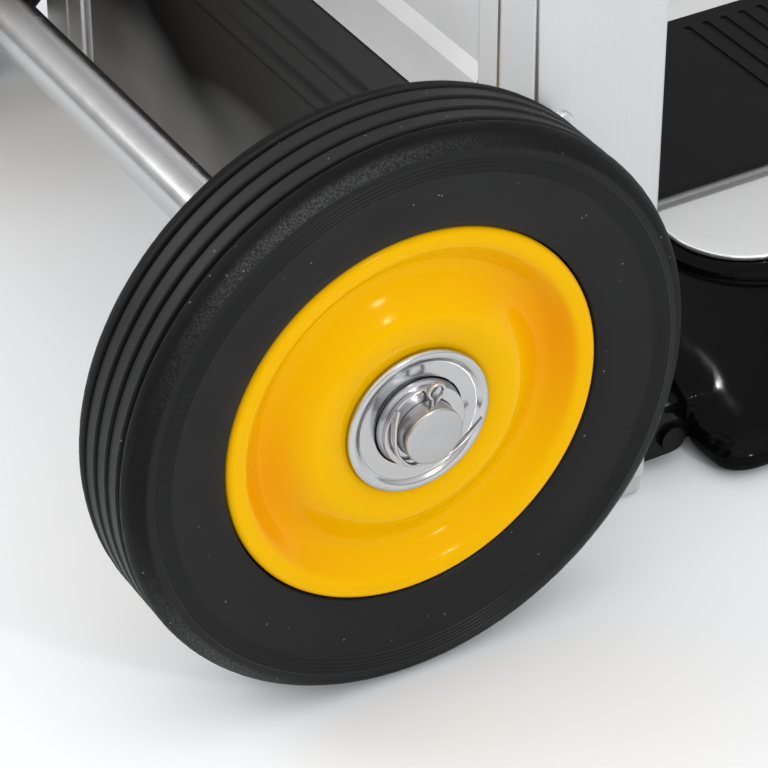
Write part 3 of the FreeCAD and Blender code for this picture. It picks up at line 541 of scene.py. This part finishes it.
# Outlines of the turned rings as (radius, outward), and how far each corner is softened.
CUP = [(25.35, 0.15), (25.35, 1.2), (24.6, 2.05), (22.9, 2.05), (21.4, 0.9), (20.6, 0.7), (15.7, 0.7), (15.7, -0.15),
       (18.3, -0.15), (18.3, -10.9), (19.95, -10.9), (19.95, 0.15)]
CUP_SOFT = [0.3, 1.0, 1.2, 1.6, 0.8, 0.6, 0.1, 0.1, 0.2, 0.2, 0.2, 0.1]
CONE = [(10.1, -10.9), (13.35, -10.9), (13.35, -1.6), (15.25, -1.6), (15.25, 1.2), (13.9, 2.85), (10.1, 2.85)]
CONE_SOFT = [0.2, 0.3, 0.3, 0.2, 1.4, 0.9, 0.2]
WASHER = [(10.15, 3.05), (14.35, 3.05), (14.35, 4.95), (10.15, 4.95)]
WASHER_SOFT = [0.1, 0.3, 0.5, 0.3]


def build_hub(side, body):
    """Cup, cone and washer on both faces of a wheel."""
    label = body.split("_")[1]
    for where, inward in (("outer", False), ("inner", True)):
        cup = turned_ring(f"bearing_cup_{where}_{label}", CUP, CUP_SOFT, side, body, "bright_zinc", inward)
        cone = turned_ring(f"bearing_cone_{where}_{label}", CONE, CONE_SOFT, side, "frame", "bearing_steel",
                           inward)
        washer = turned_ring(f"washer_{where}_{label}", WASHER, WASHER_SOFT, side, "frame", "bright_zinc",
                             inward)
        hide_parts("bearing_cups_" + label)
        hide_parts("bearing_cones_" + label)
        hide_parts("axle_washers_" + label)


def station(side, out, forward, up):
    """A place given from the rim lip plane outwards, forward of the axle and above it, in millimetres."""
    out, forward, up = (np.asarray(v, float) * MM for v in (out, forward, up))
    return np.stack(np.broadcast_arrays(side * (WHEEL_X + LIP_X + out), AXLE_Y - forward, AXLE_Z + up), -1)


def build_split_pin(side, label):
    """One flattened wire: up one leg, round the eye, down the other leg, both leg ends bent round the axle."""
    pf, pu = math.sin(PIN_LEAN), math.cos(PIN_LEAN)
    t = np.radians(np.linspace(-62, 242, 40))
    eye_p = EYE_AT + EYE_R * np.sin(t)
    eye_q = EYE_R * np.cos(t)
    front = eased([(20.4, -3.4), (14.2, -8.0), (6.4, -11.6),
                   (0.6 * pu - LEG_END * pf, -0.6 * pf - LEG_END * pu), (0.55, -6.0),
                   (0.5 * pu + 9.0 * pf, -0.5 * pf + 9.0 * pu)])
    back = eased([(-0.5 * pu + 9.0 * pf, 0.5 * pf + 9.0 * pu), (-0.6, -6.0),
                  (-0.6 * pu - LEG_END * pf, 0.6 * pf - LEG_END * pu), (-7.4, -10.8), (-11.9, -4.4),
                  (-12.3, 4.0), (-11.0, 11.2)])
    eye = np.stack([eye_q * pu + eye_p * pf, -eye_q * pf + eye_p * pu], -1)
    line = np.concatenate([front, eye, back])
    drop = smoothstep(9, 21, line[:, 0]) * -1.4
    path = station(side, 7.0 + drop, line[:, 0], line[:, 1])
    pin = wire("split_pin_wire_" + label, path, (side, 0, 0), 0.95 * MM, 0.55 * MM)
    return place(pin, "frame", "bright_zinc", "split_pin_" + label)


def build_axle():
    """A round bar with eased ends, turned as one closed outline."""
    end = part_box("axle")[1].x
    core = 1e-5
    profile = softened([(core, -end), (AXLE_R, -end), (AXLE_R, end), (core, end)],
                       [1e-6, 1.0 * MM, 1.0 * MM, 1e-6], 5)
    bar = lathe("axle_bar", profile, 1, 0.0, AXLE_TURNS)
    return place(bar, "frame", "bright_zinc", "axle", finish="ground_zinc")


build_axle()
for side_sign, body_name, start in ((-1, "wheel_left", 5), (1, "wheel_right", 9)):
    word = body_name.split("_")[1]
    build_tyre("tyre_ribbed_" + word, side_sign, body_name, start)
    build_rims(side_sign, body_name)
    build_hub(side_sign, body_name)
    build_split_pin(side_sign, word)


# ---- toe plate ----
def round_rect(half_x, y_low, y_high, corner, steps=14):
    """Rectangle outline with quarter-circle corners."""
    a = np.linspace(0, np.pi / 2, steps)
    c, s = corner * np.cos(a), corner * np.sin(a)
    x, y0, y1 = half_x - corner, y_low + corner, y_high - corner
    return np.concatenate([np.stack([x + c, y1 + s], -1), np.stack([-x - s, y1 + c], -1),
                           np.stack([-x - c, y0 - s], -1), np.stack([x + s, y0 - c], -1)])


def outward(outline):
    """Unit normals of a closed outline, from the line between each point's two neighbours."""
    tangent = np.roll(outline, -1, 0) - np.roll(outline, 1, 0)
    tangent /= np.linalg.norm(tangent, axis=1, keepdims=True)
    return np.stack([tangent[:, 1], -tangent[:, 0]], -1)


def slab(name, outline, section):
    """An outline moved in by each (inset, height) of a section in turn, closed flat at both ends."""
    n = outward(outline)
    rings = [np.concatenate([outline - n * inset, np.full((len(outline), 1), height)], 1)
             for inset, height in section]
    return skin(name, np.array(rings), wrap_u=False, caps=True)


def quarter(inset_far, inset_near, low, high, steps, rising):
    """Rounded shoulder between two insets: inset follows a cosine and height a sine, or the reverse."""
    t = np.linspace(0, np.pi / 2, steps)
    if rising:
        return list(zip(inset_far + (inset_near - inset_far) * (1 - np.cos(t)), low + (high - low) * np.sin(t)))
    return list(zip(inset_far + (inset_near - inset_far) * np.sin(t), low + (high - low) * (1 - np.cos(t))))


base_low, base_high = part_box("toe_base")
slab_top = 15.0 * MM          # top of the moulding outside its raised step
lower_round = 5.5 * MM
roll_reach = 20 * MM          # how far in from the rim the top keeps rising
deck_low, deck_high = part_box("toe_deck")
pad_low, pad_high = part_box("toe_pad")


def toe_outline():
    """Plan of the moulding: rounded front corners, and a back edge that steps in between two corner lobes."""
    half, back, front = base_high.x, AXLE_Y - 144.5 * MM, base_low.y
    lobe, waist = half - 25 * MM, half - 49 * MM
    right = [(half, front), (half, back), (lobe, back), (waist, back - 8 * MM)]
    line = right + [(-x, y) for x, y in reversed(right)]
    reach = np.array([46, 17, 5, 5, 5, 5, 17, 46]) * MM
    dense = softened(line, reach, 24)
    step = np.linalg.norm(dense - np.roll(dense, 1, 0), axis=1) > 1e-7
    return dense[step]


def polar(outline, centre_y, angles):
    """Radius of a star-shaped outline at each angle about a point on the middle line."""
    theta = np.arctan2(outline[:, 1] - centre_y, outline[:, 0])
    order = np.argsort(theta)
    radius = np.hypot(outline[:, 0], outline[:, 1] - centre_y)
    return np.interp(angles, theta[order], radius[order], period=2 * np.pi)


def toe_rings():
    """Moulding: rounded lower edge, then rings that shrink straight towards the step; their height follows a
    quarter ellipse of the distance from the rim, so the top rolls over softly into the side."""
    outline = toe_outline()
    n = outward(outline)
    rings = [np.column_stack([outline - n * inset, np.full(len(outline), high)])
             for inset, high in quarter(lower_round, 0, base_low.z, base_low.z + lower_round, 7, False)]
    centre_y = (deck_low.y + deck_high.y) / 2
    angles = np.arctan2(outline[:, 1] - centre_y, outline[:, 0])
    reach = polar(step_outline, centre_y, angles)
    core = np.column_stack([reach * np.cos(angles), centre_y + reach * np.sin(angles)])
    side_top = base_low.z + 6 * MM
    for t in np.linspace(0, 1, 30) ** 1.9:
        ring = outline + (core - outline) * t
        gap = np.sqrt(((ring[:, None] - outline[None]) ** 2).sum(-1).min(1)) if t > 0 else np.zeros(len(outline))
        rise = np.sqrt(1 - (1 - np.clip(gap / roll_reach, 0, 1)) ** 2)
        rings.append(np.column_stack([ring, side_top + (slab_top - side_top) * rise]))
    return np.array(rings)


step_outline = round_rect(deck_high.x + 12 * MM, deck_low.y - 9.6 * MM, deck_high.y + 7.2 * MM, 43 * MM, 16)
step_section = ([(-1.5 * MM, slab_top - 0.6 * MM), (-0.4 * MM, slab_top + 0.2 * MM)]
                + quarter(0, 3.4 * MM, slab_top + 0.6 * MM, base_high.z, 9, True)
                + [(12 * MM, base_high.z + 0.02 * MM)])
place(slab("toe_plate_step", step_outline, step_section), "toe_plate", "black_gloss_plastic")
place(skin("toe_plate_moulding", toe_rings(), wrap_u=False, caps=True), "toe_plate", "black_gloss_plastic",
      "toe_base")


def deck_rings():
    """Pressed cover: a rounded edge, then a flat band that sinks in a smooth cove to the pad it surrounds."""
    outer = round_rect(deck_high.x, deck_low.y, deck_high.y, 31 * MM, 16)
    inner = round_rect(pad_high.x, pad_low.y, pad_high.y, 6 * MM, 16)
    edge = [(0.3 * MM, deck_low.z), (0, deck_low.z + 0.4 * MM)]
    edge += quarter(0, 0.9 * MM, deck_high.z - 0.9 * MM, deck_high.z, 5, True)
    n = outward(outer)
    rings = [np.column_stack([outer - n * inset, np.full(len(outer), high)]) for inset, high in edge]
    inner_y = (pad_low.y + pad_high.y) / 2
    for out in (24, 20, 16, 13, 10, 7, 5, 3, 1.6, 0.6, -1.5):
        wide = max(out, 0) * MM
        room = (deck_high.y - pad_high.y - 1.2 * MM) / (24 * MM)
        front_room = (pad_low.y - deck_low.y - 1.2 * MM) / (24 * MM)
        grown = inner + np.column_stack([np.sign(inner[:, 0]) * wide, np.where(
            inner[:, 1] > inner_y, wide * min(room, 1), -wide * min(front_room, 1))])
        grown += min(out, 0) * MM * np.sign(np.column_stack([inner[:, 0], inner[:, 1] - inner_y]))
        sink = 1.3 * MM * (1 - np.clip((out - 1.6) / 22, 0, 1)) ** 2 - (0.6 * MM if out < 1 else 0)
        rings.append(np.column_stack([grown, np.full(len(grown), deck_high.z - sink)]))
    return np.array(rings)


place(skin("toe_plate_deck", deck_rings(), wrap_u=False, caps=True), "toe_plate", "polished_aluminium", "toe_deck")

lug_nose = 7 * MM
for sign in (-1, 1):
    knuckle_x = sign * (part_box("hinge_bracket_right")[0].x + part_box("hinge_bracket_right")[1].x) / 2
    y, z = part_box("hinge_pins")[0].y + 4.8 * MM, 12 * MM
    a = np.linspace(-np.pi / 2, np.pi / 2, 14)
    nose = np.stack([y + lug_nose * np.cos(a), z + lug_nose * np.sin(a)], -1)
    tail = np.array([[y - 9 * MM, z - 3 * MM], [y - 20 * MM, z - 3 * MM], [y - 20 * MM, z - lug_nose]])
    knuckle = prism(f"toe_lug_{'right' if sign > 0 else 'left'}", np.concatenate([nose, tail]),
                    knuckle_x - 7.6 * MM, knuckle_x + 7.6 * MM, 0.6 * MM)
    place(knuckle, "toe_plate", "black_gloss_steel", f"toe_knuckle_{'right' if sign > 0 else 'left'}")


# ---- cross panel ----
BEAD_HALF, BEAD_PROUD = 4.5 * MM, 1.9 * MM
BEADS = (AXLE_Z - MM, AXLE_Z + 17 * MM)


def panel_outline():
    """Section of the pressed panel, as (y, z): a flat sheet with two half-round beads, each a square root of one
    less the height squared, a turned-in top edge and a short hem below."""
    low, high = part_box("cross_panel")
    back = high.y - 2.0 * MM
    t, reach, hem = 3.0 * MM, 22 * MM, 6 * MM
    z = np.linspace(low.z + 3 * MM, high.z - 3 * MM, 150)
    bead = sum(np.sqrt(np.clip(1 - ((z - c) / BEAD_HALF) ** 2, 0, 1)) for c in BEADS)
    face = np.stack([back + BEAD_PROUD * bead, z], -1)
    top = np.array([(back - 1 * MM, high.z - 0.8 * MM), (back - 3 * MM, high.z), (back - reach, high.z),
                    (back - reach, high.z - t), (back - t, high.z - t)])
    base = np.array([(back - t, low.z + t), (back - hem, low.z + t), (back - hem, low.z),
                     (back - 3 * MM, low.z), (back - 1 * MM, low.z + 0.8 * MM)])
    return np.concatenate([face, top, base])


def floor_reflection_painted_steel():
    """Gloss black with a painted reflection of the pale floor near its foot that fades out upwards along a wavy
    line.
    """
    mat, tree, shader, coords = finish_nodes("floor_reflection_painted_steel")
    place_z = tree.nodes.new("ShaderNodeSeparateXYZ")
    tree.links.new(coords, place_z.inputs[0])
    wave = noise(tree, mapped(tree, coords, (14, 14, 26)), 1.0, 1)
    level = maths(tree, "ADD", place_z.outputs["Z"], maths(tree, "MULTIPLY", wave, 0.06))
    # painted reflection of the bright floor: the base colour pales towards the bottom
    painted_floor_reflection = ramp(tree, level, 0.055, 0.100, 1.0, 0.0)
    tree.links.new(tinted(tree, painted_floor_reflection, (0.0025, 0.0025, 0.0025), (0.150, 0.150, 0.151)),
                   shader.inputs["Base Color"])
    shader.inputs["Roughness"].default_value = 0.30
    shader.inputs["Specular IOR Level"].default_value = 0.18
    bumped(tree, shader, noise(tree, coords, 220, 2), 0.04, 0.0005)
    return mat


finishes["floor_reflection_painted_steel"] = floor_reflection_painted_steel()
panel_low, panel_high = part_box("cross_panel")
panel = prism("cross_panel_pressing", panel_outline(), panel_low.x, panel_high.x)
place(panel, "frame", "black_gloss_steel", "cross_panel", finish="floor_reflection_painted_steel")

# ---- studio ----
floor_size = 6.0
bpy.ops.mesh.primitive_plane_add(size=floor_size, location=(0, 0, 0))
floor = bpy.context.object
floor.name = "studio_floor"
floor_mat, _, floor_shader, _ = finish_nodes("studio_floor")
floor_shader.inputs["Base Color"].default_value = (0.835, 0.85, 0.87, 1)
floor_shader.inputs["Roughness"].default_value = 0.55
floor_shader.inputs["Specular IOR Level"].default_value = 0.15
floor.data.materials.append(floor_mat)

scene = bpy.context.scene
scene.view_settings.view_transform = "Standard"
world = bpy.data.worlds.new("soft_room")
world.use_nodes = True
sky = world.node_tree.nodes["Background"]
sky.inputs["Color"].default_value = (1, 1, 1, 1)
# The room brightens from the horizon up, with one softer, darker side for the gloss to mirror.
heading = world.node_tree.nodes.new("ShaderNodeTexCoord").outputs["Generated"]
dark_side = Vector((0.705, -0.414, 0.576))
parts = world.node_tree.nodes.new("ShaderNodeSeparateXYZ")
world.node_tree.links.new(heading, parts.inputs[0])
lift = ramp(world.node_tree, parts.outputs["Z"], 0.0, 0.8, 0.46, 1.36)
facing = world.node_tree.nodes.new("ShaderNodeVectorMath")
facing.operation = "DOT_PRODUCT"
facing.inputs[1].default_value = dark_side
world.node_tree.links.new(heading, facing.inputs[0])
shade = ramp(world.node_tree, facing.outputs["Value"], 0.60, 0.97, 1.0, 0.54)
world.node_tree.links.new(maths(world.node_tree, "MULTIPLY", lift, shade), sky.inputs["Strength"])
scene.world = world


def softbox(name, place_at, aim, width, height, power):
    """A rectangular lamp facing its aim point; sizes in metres, power in watts."""
    data = bpy.data.lights.new(name, "AREA")
    data.shape = "RECTANGLE"
    data.size, data.size_y = width, height
    data.energy = power
    lamp = bpy.data.objects.new(name, data)
    lamp.location = place_at
    lamp.rotation_euler = (Vector(place_at) - Vector(aim)).to_track_quat("Z", "Y").to_euler()
    scene.collection.objects.link(lamp)
    return lamp


hub_point = Vector((-(WHEEL_X + LIP_X), AXLE_Y, AXLE_Z))
softbox("side_left", (-2.1, -0.22, 1.16), hub_point, 0.14, 0.24, 9)
softbox("window_back", (0.9, 1.5, 1.5), hub_point, 1.2, 1.2, 17)
# A small lamp for the soft highlight on the toe plate's corner; it lights the moulding alone.
glint = Vector((-0.150, AXLE_Y - 0.170, 0.015))
accent = softbox("toe_accent", glint + 1.5 * dark_side, glint, 0.07, 0.05, 2.4)
accent.data.use_shadow = False
lit = bpy.data.collections.new("accent_lit")
lit.objects.link(bpy.data.objects["toe_plate_moulding"])
accent.light_linking.receiver_collection = lit

# ---- camera ----
AZIMUTH = math.radians(239.54)
ELEVATION = math.radians(35.17)
DISTANCE = 1.07766
LENS = 164.06
back_dir = Vector((math.sin(AZIMUTH) * math.cos(ELEVATION), -math.cos(AZIMUTH) * math.cos(ELEVATION),
                   math.sin(ELEVATION)))
right_dir = Vector((math.cos(AZIMUTH), math.sin(AZIMUTH), 0))
up_dir = back_dir.cross(right_dir)
camera_data = bpy.data.cameras.new("camera")
camera_data.lens = LENS
camera_data.sensor_width = 36.0
camera_data.clip_start = 0.05
camera = bpy.data.objects.new("camera", camera_data)
spot = hub_point - right_dir * 0.01020 + up_dir * 0.01082 + back_dir * DISTANCE
turn = Matrix((right_dir, up_dir, back_dir)).transposed().to_4x4()
camera.matrix_world = Matrix.Translation(spot) @ turn
scene.collection.objects.link(camera)
scene.camera = camera
